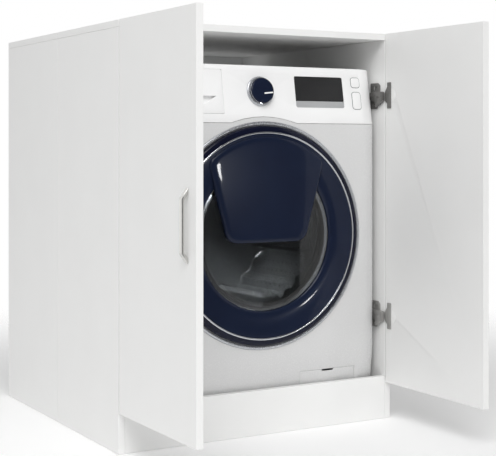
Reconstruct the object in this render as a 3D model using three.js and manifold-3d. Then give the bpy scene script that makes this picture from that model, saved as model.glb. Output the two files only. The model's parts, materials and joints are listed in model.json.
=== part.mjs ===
// A two-door laundry cabinet with a front-loading washing machine standing inside it.
// Millimetres, +X to the right, +Y to the back, +Z up. The origin is on the floor, under the middle of
// the plinth board. The cabinet's doors stand open at a right angle, and everything on the machine is shut.
import * as THREE from "three";
import { mergeVertices } from "three/addons/utils/BufferGeometryUtils.js";
import Module from "manifold-3d";

const wasm = await Module();
wasm.setup();

// ---------------------------------------------------------------- driving dimensions

// Cabinet
const cabinetWidth = 705;
const cabinetDepth = 700;
const cabinetHeight = 915;
const board = 15; // thickness of every faced board
const seat = 0.3; // clearance where two pieces meet
const seamGap = 1.2; // joint between a front board and the board behind it
const seamDepth = 353; // from the front edge to that joint
const plinthHeight = 100;
const railHeight = 80;

// Cabinet doors
const doorGap = 3.5; // from a closed door to the carcass
const doorMeeting = 4; // between the two closed doors
const doorLift = 86; // underside of a door above the floor

// Bow handles
const handleDrop = 416; // from the top of a door to the middle of its handle
const handleEdge = 37; // from a door's free edge to the middle of its handle
const handleLength = 144;
const handleReach = 14;
const handleThickness = 6;
const handleWidth = 11;
const handleSlope = 20; // how far each leg runs along the door

// Concealed hinges
const hingeInset = { lower: 159, upper: 147 }; // from the lower and the upper end of a door
const cupRadius = 17.3;
const cupDepth = 11;
const cupWall = 1.3;
const cupSetback = 21.5; // from a door's edge to the middle of the cup
const flangeSetback = 23.5; // from a door's edge to the screw line
const flangeHeight = 62;
const flangeWidth = 16;
const flangeThickness = 1.5;
const plateSetback = 42; // from the carcass front to the plate's screw line
const plateWidth = 15;
const plateThickness = 2.2;
const armHeight = 16;
const armRise = 12; // from the side board to the arm's back
const noseReach = 7; // past the open door's edge, into the cup's opening

// Room round the washing machine
const sideRoom = 27.5; // on each side of a machine that stands in the middle
const hingeRoom = 1.7; // between the machine and the right-hand hinge arms
const headroom = 71;
const rearRoom = 116; // from the casing to the cabinet's back edge
const faceRoom = 2.4; // between the loading door's hatch and the shut cabinet doors

// Machine casing
const footHeight = 20;
const footRadius = 21;
const footInset = 42;
const baseThickness = 12;
const sheet = 3; // casing wall
const lidHeight = 20;
const lidInset = 1; // lid, base and rear panel inside the casing's width
const cornerWidth = 45; // width of the curve at each front corner
const cornerDepth = 20;
const casingReturn = 60; // how far the front panel runs back along the sides
const panelSeam = 0.9;
const toeDepth = 18; // how far the lower front slopes back
const frontFootRoom = 3; // from the base up to the front panel

// Control fascia: places on it are measured down from its top edge and in from the machine's sides
const fasciaLean = THREE.MathUtils.degToRad(9.8);
const fasciaHeight = 133;
const fasciaLip = 2.06; // top of the fascia above the lid
const fasciaWall = 4;
const knob = { x: -5.5, down: 60, radius: 29.5, reach: 15 };
const knobRing = { gap: 0.8, width: 4.2, reach: 7 };
const display = { side: 88, width: 133, down: 22, height: 73, strip: 15, corner: 4 };
const buttonColumn = { side: 40, width: 23, corner: 6 };
const buttonHeights = { power_button: 23, start_button: 40 };
const buttonSpacing = 12;
const buttonClearance = 0.8;
const buttonReach = 1.5;

// Detergent drawer
const drawer = { side: 44, width: 164, low: 21, down: 12, front: 14, gap: 0.5 };
const tray = { inset: 14, setback: 19, length: 281, rise: 28, headroom: 28, wall: 3 };
const scoop = { left: 28, right: 17, rise: 40, drop: 24, depth: 9 };

// Round loading door
const loadingDoorRadius = 248.5;
const loadingDoorReach = 11.5;
const loadingDoorBack = 1;
const seamRise = 5.5; // from the door's top to the seam under the fascia
const archRoom = 10; // from the bezel to the arch that the seam makes over it
const bezel = { gap: 1, width: 8.5, reach: 4 };
const trim = { inset: 13.5, width: 4.5, reach: 1 };
const windowRadius = 169;
const windowGap = 1; // between the cover and the door's ring
const windowSink = 0.5; // cover's back behind the back of the door's ring
const windowThickness = 3;
const bowlDepth = 112;
const mouthStart = 45; // how far in the bowl's opening for the hatch begins
const bowlWall = 5;
const bowlFloor = 60; // radius of the bowl's flat end
const hatch = {
  low: -15,
  halfLow: 106,
  margin: 6.5, // from the trim ring to the hatch's upper edge
  spread: THREE.MathUtils.degToRad(42.1), // of each shoulder from straight up
  corner: 34,
  reach: 3.6,
};
const mouth = {
  rise: 37, // from the hatch's foot
  inset: 40, // from the hatch's sides
  margin: 8.1, // from the window's edge to the upper corners
  spread: THREE.MathUtils.degToRad(34.88),
  room: 8, // how much wider the glass bowl is cut
};

// Gasket, drum and tub
const gasketRoom = 12; // round the glass bowl
const drumMouthLap = 1; // drum's mouth outside the gasket's
const tubMouthLap = 13;
const panelHoleLap = 18;
const tubFront = 74; // behind the machine's front
const tubWall = 6;
const tubSplit = 136; // from the tub's front to the joint between its halves
const drumRadius = 238;
const drumWall = 2;
const drumRoom = 18; // round the drum, inside the tub
const drumFrontRoom = 12;
const drumBackRoom = 11;
const lifter = { height: 52, width: 56, crest: 18, front: 24, back: 21, count: 3 };
const counterweight = { left: -70, right: 190, front: 44, length: 190, sink: 82, headroom: 37, gap: 1 };

// Drive and suspension
const shaftRadius = 15;
const hubThickness = 4;
const pulleyRadius = 150;
const pulleyWidth = 16;
const pulleyRoom = 92; // from the pulley to the rear panel
const pulleyGap = 17; // from the tub to the pulley
const motorPulleyRadius = 12;
const motorSize = { x: 70, radius: 58, length: 120, gap: 14, pulleyGap: 12 };
const beltThickness = 4;
const spring = { radius: 10, wire: 2.4, turns: 6, side: 28, rise: 114, headroom: 28, behindTray: 50 };
const damper = { radius: 11, rod: 6, body: 87, inset: 92, front: 176 };

// Filter flap
const flap = { side: 61, width: 150, rise: 7, height: 86, notch: 31, notchDepth: 4 };

// ---------------------------------------------------------------- derived places

const frontY = -board / 2;
const backY = frontY + cabinetDepth;
const sideX = cabinetWidth / 2;
const innerX = sideX - board;
const doorWidth = (cabinetWidth - doorMeeting) / 2;
const doorEdgeY = frontY - doorGap; // hinge edge of an open door
const handleHeight = cabinetHeight - handleDrop;
const hingeHeights = { lower: doorLift + hingeInset.lower, upper: cabinetHeight - hingeInset.upper };

const machineOffset = sideRoom - armRise - seat - hingeRoom; // to the right of the cabinet's middle
const machineSetback = loadingDoorReach + hatch.reach + faceRoom - doorGap;
const machineWidth = cabinetWidth - 2 * (board + sideRoom);
const machineDepth = cabinetDepth - machineSetback - rearRoom;
const machineHeight = cabinetHeight - board - headroom;
const halfMachine = machineWidth / 2;
const flatHalf = halfMachine - cornerWidth;
const lidZ = machineHeight - lidHeight;
const baseTop = footHeight + baseThickness;
const frontFoot = baseTop + frontFootRoom; // lower edge of the front panel
const reach = 2 * cabinetWidth; // longer than anything that is cut

const bezelInner = loadingDoorRadius + bezel.gap;
const bezelOuter = bezelInner + bezel.width;
const trimOuter = loadingDoorRadius - trim.inset;
const trimInner = trimOuter - trim.width;
const archRadius = bezelOuter + archRoom;
const seamHeight = machineHeight + fasciaLip - fasciaHeight * Math.cos(fasciaLean); // joint under the fascia
const doorHeight = seamHeight - seamRise - loadingDoorRadius; // middle of the loading door and the drum
const toeHeight = doorHeight - archRadius; // below this the front panel slopes back

const gasketMouth = windowRadius + gasketRoom;
const panelHole = gasketMouth + panelHoleLap;
const drumMouth = gasketMouth + drumMouthLap;
const tubMouth = gasketMouth + tubMouthLap;
const tubRadius = drumRadius + drumRoom + tubWall;
const pulleyBack = machineDepth - pulleyRoom;
const pulleyFront = pulleyBack - pulleyWidth;
const tubBack = pulleyFront - pulleyGap;
const drumFront = tubFront + drumFrontRoom;
const drumBack = tubBack - 3 * tubWall - drumBackRoom;
const motorDrop = -(tubRadius + motorSize.gap + motorSize.radius);

// Spans on the fascia, in its own leaning plane.
const displayX1 = halfMachine - display.side;
const displayZ1 = fasciaHeight - display.down;
const displaySpan = {
  x0: displayX1 - display.width,
  x1: displayX1,
  z0: displayZ1 - display.height,
  z1: displayZ1,
};
const buttonX1 = halfMachine - buttonColumn.side;
const powerLow = displayZ1 - buttonHeights.power_button;
const startHigh = powerLow - buttonSpacing;
const buttonSpans = {
  power_button: { x0: buttonX1 - buttonColumn.width, x1: buttonX1, z0: powerLow, z1: displayZ1 },
  start_button: {
    x0: buttonX1 - buttonColumn.width,
    x1: buttonX1,
    z0: startHigh - buttonHeights.start_button,
    z1: startHigh,
  },
};
const drawerX0 = drawer.side - halfMachine;
const drawerSpan = {
  x0: drawerX0,
  x1: drawerX0 + drawer.width,
  z0: drawer.low,
  z1: fasciaHeight - drawer.down,
};

// ---------------------------------------------------------------- materials

const finish = (color, roughness, metalness = 0) =>
  new THREE.MeshStandardMaterial({ color, roughness, metalness });
const whiteBoard = finish(0xf1f1ef, 0.5);
const satinSteel = finish(0x8b8b8a, 0.35, 0.9);
const handleMetal = finish(0xc3c3c1, 0.3, 0.9);
const enamel = finish(0xf3f3f3, 0.3);
const silver = finish(0xc9ccd0, 0.25, 0.8);
const navy = finish(0x1d2233, 0.15);
const darkGlass = finish(0x1c1c1d, 0.1);
const clearGlass = finish(0x5b5f60, 0.05);
const rubber = finish(0x6c6f71, 0.8);
const steel = finish(0xb9bbbd, 0.3, 1);
const greyPlastic = finish(0x9da0a2, 0.6);
const blackRubber = finish(0x1b1b1b, 0.8);
const concrete = finish(0x9a968e, 0.9);
const aluminium = finish(0xa9acb0, 0.4, 0.9);

// ---------------------------------------------------------------- solids

const laundry = new THREE.Group();
const machine = new THREE.Group();
machine.position.set(machineOffset, frontY + machineSetback, 0);
laundry.add(machine);

function add(parent, name, geometry, material) {
  const mesh = new THREE.Mesh(geometry, material);
  mesh.name = name;
  parent.add(mesh);
  return mesh;
}

// A box between two corners.
function block([x0, y0, z0], [x1, y1, z1]) {
  return new THREE.BoxGeometry(x1 - x0, y1 - y0, z1 - z0).translate(
    (x0 + x1) / 2,
    (y0 + y1) / 2,
    (z0 + z1) / 2,
  );
}

// A solid turned about the Y axis from a closed outline of [radius, y] points.
function turned(outline, segments = 44) {
  const area = outline.reduce((sum, [r, y], i) => {
    const [nextR, nextY] = outline[(i + 1) % outline.length];
    return sum + r * nextY - nextR * y;
  }, 0);
  const points = outline.map(([r, y]) => new THREE.Vector2(r, y));
  if (area < 0) points.reverse();
  return new THREE.LatheGeometry([...points, points[0].clone()], segments);
}

// A round bar along Y.
function bar(radius, y0, y1, segments = 32) {
  return new THREE.CylinderGeometry(radius, radius, y1 - y0, segments).translate(0, (y0 + y1) / 2, 0);
}

// A round bar along Z.
function post(radius, z0, z1, segments = 24) {
  return bar(radius, z0, z1, segments).rotateX(Math.PI / 2);
}

// An outline drawn in X and Z, given thickness from y0 to y1.
function plateXZ(shape, y0, y1, curveSegments = 8) {
  return new THREE.ExtrudeGeometry(shape, { depth: y1 - y0, bevelEnabled: false, curveSegments })
    .rotateX(Math.PI / 2)
    .translate(0, y1, 0);
}

function roundedRectangle(x0, x1, z0, z1, radius) {
  const shape = new THREE.Shape();
  shape.moveTo(x0 + radius, z0);
  shape.lineTo(x1 - radius, z0);
  shape.absarc(x1 - radius, z0 + radius, radius, -Math.PI / 2, 0);
  shape.lineTo(x1, z1 - radius);
  shape.absarc(x1 - radius, z1 - radius, radius, 0, Math.PI / 2);
  shape.lineTo(x0 + radius, z1);
  shape.absarc(x0 + radius, z1 - radius, radius, Math.PI / 2, Math.PI);
  shape.lineTo(x0, z0 + radius);
  shape.absarc(x0 + radius, z0 + radius, radius, Math.PI, 1.5 * Math.PI);
  return shape;
}

function polygon(points) {
  return new THREE.Shape(points.map(([x, y]) => new THREE.Vector2(x, y)));
}

function toManifold(geometry) {
  const bare = geometry.index ? geometry.toNonIndexed() : geometry.clone();
  bare.deleteAttribute("normal");
  bare.deleteAttribute("uv");
  const merged = mergeVertices(bare, 1e-4);
  return new wasm.Manifold(
    new wasm.Mesh({
      numProp: 3,
      vertProperties: merged.attributes.position.array,
      triVerts: new Uint32Array(merged.index.array),
    }),
  );
}

function toGeometry(manifold) {
  const mesh = manifold.getMesh();
  const geometry = new THREE.BufferGeometry();
  geometry.setAttribute("position", new THREE.BufferAttribute(mesh.vertProperties, 3));
  geometry.setIndex(new THREE.BufferAttribute(mesh.triVerts, 1));
  const flat = geometry.toNonIndexed();
  flat.computeVertexNormals();
  return flat;
}

const join = (first, ...others) =>
  toGeometry(others.reduce((sum, g) => sum.add(toManifold(g)), toManifold(first)));
const cut = (first, ...others) =>
  toGeometry(others.reduce((sum, g) => sum.subtract(toManifold(g)), toManifold(first)));

// ---------------------------------------------------------------- cabinet carcass

function carcass() {
  const sideTop = cabinetHeight - board - seat;
  const seamY = frontY + seamDepth;
  const spans = {
    front: [frontY, seamY - seamGap / 2],
    rear: [seamY + seamGap / 2, backY],
  };
  for (const [depthName, [y0, y1]] of Object.entries(spans)) {
    for (const [sideName, side] of [["left", -1], ["right", 1]]) {
      const [x0, x1] = [side * innerX, side * sideX].sort((a, b) => a - b);
      add(laundry, `${sideName}_side_${depthName}_board`, block([x0, y0, 0], [x1, y1, sideTop]), whiteBoard);
    }
    const low = [-sideX, y0, cabinetHeight - board];
    add(laundry, `top_${depthName}_board`, block(low, [sideX, y1, cabinetHeight]), whiteBoard);
  }

  const between = innerX - seat;
  const plinth = block([-between, frontY, 0], [between, frontY + board, plinthHeight]);
  add(laundry, "plinth_board", plinth, whiteBoard);
  const railY = [backY - board, backY];
  const topRail = [sideTop - railHeight, sideTop];
  for (const [name, [z0, z1]] of [["rear_top_rail", topRail], ["rear_bottom_rail", [0, railHeight]]]) {
    add(laundry, name, block([-between, railY[0], z0], [between, railY[1], z1]), whiteBoard);
  }
}

// ---------------------------------------------------------------- doors, handles and hinges

// The side that opens: -1 is left and 1 is right. Each door stands open, in line with its side boards.
function cabinetDoor(sideName, side) {
  const outward = (distance) => side * distance;
  const span = (a, b) => [outward(a), outward(b)].sort((p, q) => p - q);
  const cupY = doorEdgeY - cupSetback;

  const [x0, x1] = span(innerX, sideX);
  const panel = block([x0, doorEdgeY - doorWidth, doorLift], [x1, doorEdgeY, cabinetHeight]);
  const pockets = Object.values(hingeHeights).map((z) =>
    new THREE.CylinderGeometry(cupRadius + seat, cupRadius + seat, 2 * (cupDepth + seat), 24)
      .rotateZ(Math.PI / 2)
      .translate(outward(innerX), cupY, z),
  );
  add(laundry, `${sideName}_door_panel`, cut(panel, ...pockets), whiteBoard);
  add(laundry, `${sideName}_door_handle`, handle(side), handleMetal);

  for (const [level, z] of Object.entries(hingeHeights)) {
    add(laundry, `${sideName}_${level}_hinge_cup`, hingeCup(side, span, cupY, z), satinSteel);
    add(laundry, `${sideName}_${level}_hinge_arm`, hingeArm(span, z), satinSteel);
  }
}

// A flat bar bent into a bow, on the outer face of its door.
function handle(side) {
  const half = handleLength / 2;
  const inner = handleReach - handleThickness;
  const legEnd = half - handleSlope;
  const foot = half - handleThickness * 2;
  const bow = polygon([
    [0, -half],
    [handleReach, -legEnd],
    [handleReach, legEnd],
    [0, half],
    [0, foot],
    [inner, legEnd - handleThickness / 2],
    [inner, -legEnd + handleThickness / 2],
    [0, -foot],
  ]);
  const y = doorEdgeY - doorWidth + handleEdge;
  const solid = plateXZ(bow, y - handleWidth / 2, y + handleWidth / 2);
  if (side < 0) solid.rotateZ(Math.PI).translate(0, 2 * y, 0);
  return solid.translate(side * (sideX + seat), 0, handleHeight);
}

// A pressed cup let into the door, with the flange that its screws go through.
function hingeCup(side, span, cupY, z) {
  const face = innerX - seat; // just clear of the door's inner face
  const disc = (radius, a, b) =>
    new THREE.CylinderGeometry(radius, radius, b - a, 24)
      .rotateZ(Math.PI / 2)
      .translate((side * (a + b)) / 2, cupY, z);
  const [f0, f1] = span(face - flangeThickness, face);
  const flangeY = doorEdgeY - flangeSetback;
  const flange = block(
    [f0, flangeY - flangeWidth / 2, z - flangeHeight / 2],
    [f1, flangeY + flangeWidth / 2, z + flangeHeight / 2],
  );
  const shell = join(
    disc(cupRadius, face - flangeThickness, innerX + cupDepth),
    disc(cupRadius + cupWall, face - flangeThickness, face),
    flange,
  );
  return cut(shell, disc(cupRadius - cupWall, face - 2 * flangeThickness, innerX + cupDepth - cupWall));
}

// The plate on the side board, the arm it carries, and the arm's nose in the mouth of the cup.
function hingeArm(span, z) {
  const plateY = frontY + plateSetback;
  const face = innerX - seat;
  const piece = (a, b, y0, y1, half) => {
    const [x0, x1] = span(a, b);
    return block([x0, y0, z - half], [x1, y1, z + half]);
  };
  const wing = flangeHeight / 2;
  const armFront = doorEdgeY + flangeThickness + 1;
  return join(
    piece(face - plateThickness, face, plateY - plateWidth / 2, plateY + plateWidth / 2, wing),
    piece(face - 8, face, frontY + 18, plateY + 16, armHeight / 2 + 1),
    piece(face - armRise, face - 2.5, armFront, frontY + 26, armHeight / 2),
    piece(face - armRise + 1.5, face - 2.7, doorEdgeY - noseReach, armFront + 2, armHeight / 2 - 1.5),
  );
}

// ---------------------------------------------------------------- machine casing

// Plan of the machine's front: flat in the middle, with a quarter of an ellipse at each corner.
function frontCurve(inset, segments) {
  const points = [];
  for (let i = 0; i <= segments; i++) {
    const angle = (i / segments) * (Math.PI / 2);
    points.push([
      flatHalf + (cornerWidth - inset) * Math.sin(angle),
      cornerDepth - (cornerDepth - inset) * Math.cos(angle),
    ]);
  }
  return [...points.map(([x, y]) => [-x, y]).reverse(), ...points];
}

function frontPlan(inset, back, segments = 8) {
  const curve = frontCurve(inset, segments);
  const side = halfMachine - inset;
  return [[-side, back], ...curve, [side, back]];
}

// Extrudes a plan upwards and slides each point back by what the slope gives at its height and depth.
function slopedExtrude(plan, levels, slope) {
  const steps = levels.length - 1;
  const geometry = new THREE.ExtrudeGeometry(polygon(plan), { depth: steps, steps, bevelEnabled: false });
  const at = geometry.attributes.position;
  for (let i = 0; i < at.count; i++) {
    const z = levels[Math.round(at.getZ(i))];
    at.setXYZ(i, at.getX(i), at.getY(i) + slope(z, at.getY(i)), z);
  }
  return geometry;
}

const toe = (z, y) =>
  toeDepth * Math.max(0, (toeHeight - z) / (toeHeight - frontFoot)) * (1 - y / casingReturn);

// A straight cylinder along Y around the loading door's axis.
const doorCylinder = (radius, y0, y1) => bar(radius, y0, y1, 64).translate(0, 0, doorHeight);

function casing() {
  const outer = frontPlan(0, casingReturn);
  const inner = frontPlan(sheet, casingReturn);
  const tall = doorHeight + archRadius;
  const shell = slopedExtrude([...outer, ...inner.reverse()], [frontFoot, toeHeight, tall], toe);
  const keep = join(
    block([-reach, -reach, -reach], [reach, reach, seamHeight - panelSeam / 2]),
    doorCylinder(archRadius, -reach, reach),
  );
  const gap = panelSeam / 2;
  const flapX1 = halfMachine - flap.side;
  const flapX0 = flapX1 - flap.width;
  const flapZ0 = frontFoot + flap.rise;
  const flapZ1 = flapZ0 + flap.height;
  const flapHole = slopedBlock(flapX0 - gap, flapX1 + gap, -sheet, 2 * sheet, flapZ0 - gap, flapZ1 + gap);
  const panel = toManifold(shell).intersect(toManifold(keep));
  add(
    machine,
    "front_panel",
    cut(toGeometry(panel), doorCylinder(panelHole, -reach, reach), flapHole),
    enamel,
  );

  const flapPlate = slopedBlock(flapX0, flapX1, seat, sheet - seat, flapZ0, flapZ1);
  const notchX = (flapX0 + flapX1) / 2;
  const notch = block(
    [notchX - flap.notch / 2, -reach, flapZ1 - flap.notchDepth],
    [notchX + flap.notch / 2, reach, flapZ1 + flap.notchDepth],
  );
  add(machine, "filter_flap", cut(flapPlate, notch), enamel);

  // Sides, whose upper front corners lean back with the fascia.
  const sideFront = casingReturn + seat;
  const leanTop = sideFront + (lidZ - seamHeight) * Math.tan(fasciaLean) + 2;
  const profile = [
    [sideFront, baseTop + seat],
    [machineDepth, baseTop + seat],
    [machineDepth, lidZ - seat],
    [leanTop, lidZ - seat],
    [sideFront, seamHeight - 8],
  ];
  for (const [sideName, side] of [["left", -1], ["right", 1]]) {
    const wall = new THREE.ExtrudeGeometry(polygon(profile), { depth: sheet, bevelEnabled: false })
      .rotateX(Math.PI / 2)
      .rotateZ(Math.PI / 2)
      .translate(side > 0 ? halfMachine - sheet : -halfMachine, 0, 0);
    add(machine, `machine_${sideName}_side`, wall, enamel);
  }

  const wide = halfMachine - lidInset;
  const rear = [machineDepth + seat, machineDepth + seat + sheet];
  const rearPanel = block([-wide, rear[0], baseTop + seat], [wide, rear[1], lidZ - seat]);
  add(machine, "machine_rear_panel", rearPanel, steel);
  const lidFront = leanTop + 2;
  add(machine, "machine_lid", block([-wide, lidFront, lidZ], [wide, rear[1], machineHeight]), enamel);
  const base = block([-wide, toeDepth + footRadius, footHeight], [wide, rear[1], baseTop]);
  add(machine, "machine_base", base, greyPlastic);

  const footX = halfMachine - footInset;
  for (const [name, x, y] of [
    ["foot_front_left", -footX, footInset + toeDepth],
    ["foot_front_right", footX, footInset + toeDepth],
    ["foot_rear_left", -footX, machineDepth - footInset],
    ["foot_rear_right", footX, machineDepth - footInset],
  ]) {
    const foot = join(post(footRadius, 0, 9), post(7, 8, footHeight - seat, 16));
    add(machine, name, foot.translate(x, y, 0), blackRubber);
  }
}

// A block in front-panel space that slopes back with the panel's toe.
function slopedBlock(x0, x1, y0, y1, z0, z1) {
  const plan = [[x0, y0], [x1, y0], [x1, y1], [x0, y1]];
  return slopedExtrude(plan, [z0, z1], toe);
}

// ---------------------------------------------------------------- control fascia

const fascia = new THREE.Group();
fascia.position.set(0, 0, seamHeight);
fascia.rotation.x = -fasciaLean;
machine.add(fascia);

const leanMatrix = new THREE.Matrix4()
  .makeTranslation(0, 0, seamHeight)
  .multiply(new THREE.Matrix4().makeRotationX(-fasciaLean));
const toFascia = (geometry) => geometry.applyMatrix4(leanMatrix.clone().invert());

function controlFascia() {
  const low = -2 * fasciaWall;
  const level = () => 0;
  const bodyPlan = frontPlan(0, casingReturn);
  const body = slopedExtrude(bodyPlan, [low, fasciaHeight], level);
  const hollowPlan = frontPlan(fasciaWall, casingReturn + 2);
  const hollow = slopedExtrude(hollowPlan, [low - 1, fasciaHeight - fasciaWall], level);
  const below = toFascia(block([-reach, -reach, -reach], [reach, reach, seamHeight + panelSeam / 2]));
  const arch = toFascia(doorCylinder(archRadius + panelSeam, -reach, reach));

  const through = [-2 * fasciaWall, 2 * fasciaWall];
  const hole = ({ x0, x1, z0, z1 }, gap, radius) =>
    plateXZ(roundedRectangle(x0 - gap, x1 + gap, z0 - gap, z1 + gap, radius + gap), ...through);
  const drawerHole = block(
    [drawerSpan.x0 - drawer.gap, -casingReturn, drawerSpan.z0 - drawer.gap],
    [drawerSpan.x1 + drawer.gap, casingReturn - 20, drawerSpan.z1 + drawer.gap],
  );
  const knobZ = fasciaHeight - knob.down;
  const knobHole = bar(8, ...through, 16).translate(knob.x, 0, knobZ);
  const windows = [
    hole(displaySpan, seat, display.corner),
    ...Object.values(buttonSpans).map((span) => hole(span, buttonClearance, buttonColumn.corner)),
  ];
  add(
    fascia,
    "control_fascia",
    cut(body, hollow, below, arch, drawerHole, knobHole, ...windows),
    enamel,
  );

  const { x0: left, x1: right, z0: bottom, z1: high } = displaySpan;
  const stripTop = bottom + display.strip;
  const glass = roundedRectangle(left, right, stripTop + seat, high, display.corner);
  add(fascia, "display_window", plateXZ(glass, 0.4, fasciaWall + 6), darkGlass);
  const strip = roundedRectangle(left, right, bottom, stripTop, display.corner);
  add(fascia, "display_strip", plateXZ(strip, 0.2, fasciaWall + 6), silver);

  for (const [name, { x0, x1, z0, z1 }] of Object.entries(buttonSpans)) {
    const face = roundedRectangle(x0, x1, z0, z1, buttonColumn.corner);
    add(fascia, name, plateXZ(face, -buttonReach, fasciaWall + 2), enamel);
  }

  const ringInner = knob.radius + knobRing.gap;
  const ring = turned([
    [ringInner, -seat],
    [ringInner + knobRing.width, -seat],
    [ringInner + knobRing.width - 1, 2 - knobRing.reach],
    [ringInner, -knobRing.reach],
  ]);
  add(fascia, "knob_ring", ring.translate(knob.x, 0, knobZ), silver);
  const cap = turned(
    [
      [0, fasciaWall + 8],
      [6, fasciaWall + 8],
      [6, -1],
      [knob.radius, -1],
      [knob.radius, -knob.reach + 3],
      [knob.radius - 3, -knob.reach],
      [0, -knob.reach],
    ],
    40,
  );
  add(fascia, "program_knob", cap.translate(knob.x, 0, knobZ), navy);
}

// The drawer's face leans with the fascia, and its tray is level.
function detergentDrawer() {
  const { x0: left, x1: right, z0: low, z1: high } = drawerSpan;
  const face = plateXZ(roundedRectangle(left, right, low, high, tray.wall), 0, drawer.front, 2);
  const recess = new THREE.Shape();
  const scoopLeft = left + scoop.left;
  const scoopRight = right - scoop.right;
  const scoopTop = low + scoop.rise;
  recess.moveTo(scoopLeft, scoopTop);
  recess.quadraticCurveTo((scoopLeft + scoopRight) / 2, scoopTop - 2 * scoop.drop, scoopRight, scoopTop);
  recess.lineTo(scoopLeft, scoopTop);
  const leaning = cut(face, plateXZ(recess, -10, scoop.depth)).applyMatrix4(leanMatrix);
  const floorZ = seamHeight + low * Math.cos(fasciaLean);
  const front = cut(leaning, block([-reach, -reach, 0], [reach, reach, floorZ]));

  const x0 = left + tray.inset;
  const x1 = right - tray.inset;
  const middleX = (x0 + x1) / 2;
  const y1 = tray.setback + tray.length;
  const z0 = seamHeight + tray.rise;
  const z1 = lidZ - tray.headroom;
  const box = block([x0, tray.setback, z0], [x1, y1, z1]);
  const bay = (a, b) =>
    block([a, tray.setback + 2 * tray.wall, z0 + tray.wall], [b, y1 - tray.wall, z1 + 1]);
  const bays = [
    bay(x0 + tray.wall, middleX - tray.wall / 2),
    bay(middleX + tray.wall / 2, x1 - tray.wall),
  ];
  add(machine, "detergent_drawer", join(cut(box, ...bays), front), enamel);
}

// ---------------------------------------------------------------- loading door

const loadingDoor = new THREE.Group();
loadingDoor.position.set(0, 0, doorHeight);
machine.add(loadingDoor);

// The add-in hatch: an arc above, sloping sides, and a narrow rounded foot.
function hatchOutline() {
  const { low, halfLow, spread, corner } = hatch;
  const outline = new THREE.Shape();
  const radius = trimInner - hatch.margin;
  const angle = Math.PI / 2 - spread;
  outline.moveTo(-halfLow + corner, low);
  outline.lineTo(halfLow - corner, low);
  outline.quadraticCurveTo(halfLow, low, halfLow + 3, low + corner);
  outline.lineTo(radius * Math.sin(spread), radius * Math.cos(spread));
  outline.absarc(0, 0, radius, angle, Math.PI - angle);
  outline.lineTo(-halfLow - 3, low + corner);
  outline.quadraticCurveTo(-halfLow, low, -halfLow + corner, low);
  return outline;
}

// The opening behind the hatch, made wider all round by room.
function mouthBlock(y0, y1, room = 0) {
  const low = hatch.low + mouth.rise - room;
  const halfLow = hatch.halfLow - mouth.inset + room;
  const radius = windowRadius - mouth.margin;
  const halfTop = radius * Math.sin(mouth.spread) + room;
  const high = radius * Math.cos(mouth.spread) + room;
  const shape = polygon([[-halfLow, low], [halfLow, low], [halfTop, high], [-halfTop, high]]);
  return plateXZ(shape, y0, y1);
}

function door() {
  const ring = turned(
    [
      [bezelInner, -seat],
      [bezelOuter, -seat],
      [bezelOuter - 2, -bezel.reach],
      [bezelInner, -bezel.reach],
    ],
    64,
  );
  add(loadingDoor, "door_bezel", ring, silver);

  const face = -loadingDoorReach;
  const hole = windowRadius + windowGap;
  const frame = turned(
    [
      [hole, -loadingDoorBack],
      [loadingDoorRadius, -loadingDoorBack],
      [loadingDoorRadius, face + 6],
      [loadingDoorRadius - 2.5, face + 2.5],
      [loadingDoorRadius - 8, face + 0.6],
      [trimOuter, face],
      [hole + 6, face],
      [hole, face + 4],
    ],
    64,
  );
  add(loadingDoor, "door_frame", frame, navy);
  const line = turned(
    [
      [trimInner, face - seat],
      [trimOuter, face - seat],
      [trimOuter, face - trim.reach],
      [trimInner, face - trim.reach],
    ],
    64,
  );
  add(loadingDoor, "door_trim_ring", line, silver);

  const coverFace = windowSink - loadingDoorBack - windowThickness;
  const cover = bar(windowRadius, coverFace, coverFace + windowThickness, 48);
  add(loadingDoor, "door_window_cover", cut(cover, mouthBlock(-reach, reach)), darkGlass);

  const rim = coverFace + windowThickness + seat;
  const bowl = turned([
    [windowRadius, rim],
    [windowRadius, rim + 6],
    [windowRadius - 5, 10],
    [windowRadius - 17, bowlDepth - 42],
    [windowRadius - 45, bowlDepth - 12],
    [bowlFloor, bowlDepth],
    [0, bowlDepth],
    [0, bowlDepth - bowlWall],
    [bowlFloor, bowlDepth - bowlWall],
    [windowRadius - 43 - bowlWall, bowlDepth - 12 - bowlWall],
    [windowRadius - 17 - bowlWall, bowlDepth - 44],
    [windowRadius - 6 - bowlWall, 10],
    [windowRadius - bowlWall - 2, rim],
  ]);
  const bowlMouth = mouthBlock(mouthStart, 2 * bowlDepth, mouth.room);
  add(loadingDoor, "door_glass_bowl", cut(bowl, bowlMouth), clearGlass);

  const hatchPlate = plateXZ(hatchOutline(), face - hatch.reach, face - trim.reach - 0.4, 16);
  add(loadingDoor, "add_in_hatch", hatchPlate, navy);
}

// ---------------------------------------------------------------- gasket, drum, tub and drive

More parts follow.
